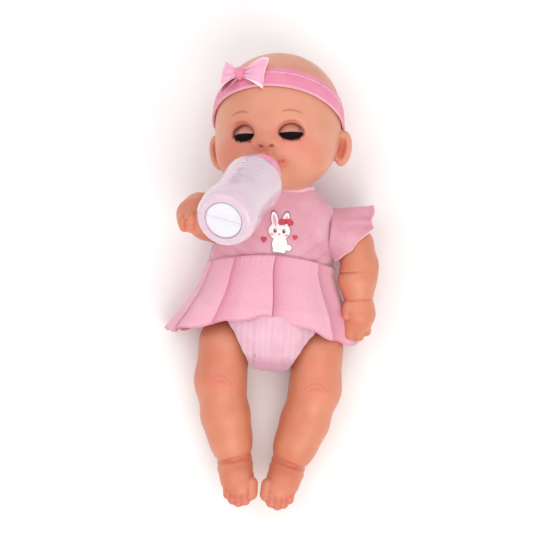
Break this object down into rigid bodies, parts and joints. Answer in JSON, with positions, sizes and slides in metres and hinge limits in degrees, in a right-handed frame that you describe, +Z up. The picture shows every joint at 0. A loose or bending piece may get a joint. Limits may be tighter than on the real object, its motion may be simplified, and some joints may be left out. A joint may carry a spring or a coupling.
{
  "type": "baby doll with feeding bottle",
  "caption": "Interactive baby doll lying on its back, in a knit and tulle dress with a bow headband, holding up one hand to a feeding bottle at its mouth; sleep eyes, jointed limbs, sound unit.",
  "frame": {"origin": "On the plane the doll lies on, under the centre of its bounding box.", "axes": "+Z up out of the doll's chest, +Y to the crown of the head, +X to the doll's left."},
  "size_m": [0.154, 0.3488, 0.1813],
  "materials": {
    "head_shell": "soft matte vinyl",
    "left_arm": "soft matte vinyl",
    "right_arm": "soft matte vinyl",
    "left_leg": "soft matte vinyl",
    "right_leg": "soft matte vinyl",
    "left_eyelid": "smooth painted plastic",
    "right_eyelid": "smooth painted plastic",
    "left_eyeball": "polished",
    "right_eyeball": "polished",
    "left_lashes": "bristle",
    "right_lashes": "bristle",
    "left_eye_weight": "as cast",
    "right_eye_weight": "as cast",
    "left_eye_socket": "moulded",
    "right_eye_socket": "moulded",
    "mouth_cup": "moulded",
    "left_arm_plug": "moulded ABS",
    "right_arm_plug": "moulded ABS",
    "left_leg_plug": "moulded ABS",
    "right_leg_plug": "moulded ABS",
    "neck_post": "moulded ABS",
    "torso_front_shell": "moulded ABS",
    "torso_back_shell": "moulded ABS",
    "battery_door": "moulded ABS",
    "shell_screws": "zinc plated",
    "door_screw": "zinc plated",
    "battery_box": "moulded",
    "batteries": "printed sleeve",
    "battery_contacts": "nickel plated",
    "circuit_board": "solder mask",
    "board_components": "moulded",
    "tact_switch": "moulded",
    "button_spring": "spring wire",
    "spring_seat": "moulded",
    "belly_button": "moulded",
    "speaker_frame": "pressed steel",
    "speaker_cone": "mylar film",
    "speaker_bracket": "moulded",
    "switch_housing": "pressed steel",
    "switch_slider": "moulded",
    "speaker_wires": "PVC",
    "battery_wires": "PVC",
    "bodice": "fine cotton knit",
    "romper_panties": "fine cotton knit",
    "headband": "fine cotton knit",
    "closure_tab": "fine cotton knit",
    "neck_binding": "satin",
    "bow_loops": "satin",
    "bow_knot": "satin",
    "skirt_front": "tulle",
    "skirt_back": "tulle",
    "left_flutter_sleeve": "tulle",
    "right_flutter_sleeve": "tulle",
    "chest_print": "printed",
    "bottle_body": "translucent moulded",
    "bottle_base": "moulded",
    "bottle_collar": "moulded",
    "bottle_teat": "soft"
  },
  "bodies": {
    "torso": {"torso_front_shell": "torso_front_shell", "torso_back_shell": "torso_back_shell", "shell_screws": "shell_screws", "neck_post": "neck_post", "battery_box": "battery_box", "batteries": "batteries", "battery_contacts": "battery_contacts", "circuit_board": "circuit_board", "board_components": "board_components", "tact_switch": "tact_switch", "button_spring": "button_spring", "spring_seat": "spring_seat", "speaker_frame": "speaker_frame", "speaker_cone": "speaker_cone", "speaker_bracket": "speaker_bracket", "switch_housing": "switch_housing", "speaker_wires": "speaker_wires", "battery_wires": "battery_wires", "bodice": "bodice", "romper_panties": "romper_panties", "neck_binding": "neck_binding", "skirt_front": "skirt_front", "skirt_back": "skirt_back", "chest_print": "chest_print", "closure_tab": "closure_tab"},
    "battery_door": {"battery_door": "battery_door", "door_screw": "door_screw"},
    "power_switch": {"switch_slider": "switch_slider"},
    "belly_button": {"belly_button": "belly_button"},
    "head": {"head_shell": "head_shell", "mouth_cup": "mouth_cup", "left_eye_socket": "left_eye_socket", "right_eye_socket": "right_eye_socket", "headband": "headband", "bow_loops": "bow_loops", "bow_knot": "bow_knot"},
    "left_eye": {"left_eyeball": "left_eyeball", "left_eyelid": "left_eyelid", "left_lashes": "left_lashes", "left_eye_weight": "left_eye_weight"},
    "right_eye": {"right_eyeball": "right_eyeball", "right_eyelid": "right_eyelid", "right_lashes": "right_lashes", "right_eye_weight": "right_eye_weight"},
    "left_arm": {"left_arm": "left_arm", "left_arm_plug": "left_arm_plug", "left_flutter_sleeve": "left_flutter_sleeve"},
    "right_arm": {"right_arm": "right_arm", "right_arm_plug": "right_arm_plug", "right_flutter_sleeve": "right_flutter_sleeve"},
    "left_leg": {"left_leg": "left_leg", "left_leg_plug": "left_leg_plug"},
    "right_leg": {"right_leg": "right_leg", "right_leg_plug": "right_leg_plug"},
    "bottle_cap": {"bottle_collar": "bottle_collar", "bottle_teat": "bottle_teat"},
    "bottle": {"bottle_body": "bottle_body", "bottle_base": "bottle_base"}
  },
  "joints": [
    {"name": "neck_turn", "type": "hinge", "parent": "torso", "child": "head", "pos_m": [-0.002, 0.06577, 0.044], "axis": [0.1045, -0.9945, 0], "range_deg": [-60, 4]},
    {"name": "left_eye_roll", "type": "hinge", "parent": "head", "child": "left_eye", "pos_m": [0.0003, 0.10975, 0.08186], "axis": [-0.9728, -0.1022, -0.2079], "range_deg": [0, 60]},
    {"name": "right_eye_roll", "type": "hinge", "parent": "head", "child": "right_eye", "pos_m": [-0.02811, 0.10676, 0.07579], "axis": [-0.9728, -0.1022, -0.2079], "range_deg": [0, 60]},
    {"name": "left_shoulder", "type": "hinge", "parent": "torso", "child": "left_arm", "pos_m": [0.0366, 0.04027, 0.0335], "axis": [-1, 0, 0], "range_deg": [0, 160]},
    {"name": "right_shoulder", "type": "hinge", "parent": "torso", "child": "right_arm", "pos_m": [-0.0366, 0.04027, 0.0335], "axis": [-1, 0, 0], "range_deg": [-90, 40]},
    {"name": "left_hip", "type": "hinge", "parent": "torso", "child": "left_leg", "pos_m": [0.0226, -0.04073, 0.027], "axis": [-0.9135, 0.4067, 0], "range_deg": [-5, 80], "deforming": ["skirt_front"]},
    {"name": "right_hip", "type": "hinge", "parent": "torso", "child": "right_leg", "pos_m": [-0.0226, -0.04073, 0.027], "axis": [-0.9135, -0.4067, 0], "range_deg": [-5, 80]},
    {"name": "belly_press", "type": "slide", "parent": "torso", "child": "belly_button", "axis": [0, 0, -1], "range_m": [0, 0.0025], "stiffness_N_per_m": 300, "deforming": ["button_spring"]},
    {"name": "power_switch", "type": "slide", "parent": "torso", "child": "power_switch", "axis": [1, 0, 0], "range_m": [0, 0.003]},
    {"name": "battery_door_hinge", "type": "hinge", "parent": "torso", "child": "battery_door", "pos_m": [0, 0.01777, 0.004], "axis": [1, 0, 0], "range_deg": [0, 95]},
    {"name": "bottle_pull", "type": "slide", "parent": "head", "child": "bottle_cap", "axis": [-0.27, -0.465, 0.8431], "range_m": [0, 0.06]},
    {"name": "bottle_unscrew", "type": "slide", "parent": "bottle_cap", "child": "bottle", "axis": [-0.27, -0.465, 0.8431], "range_m": [0, 0.03]}
  ]
}
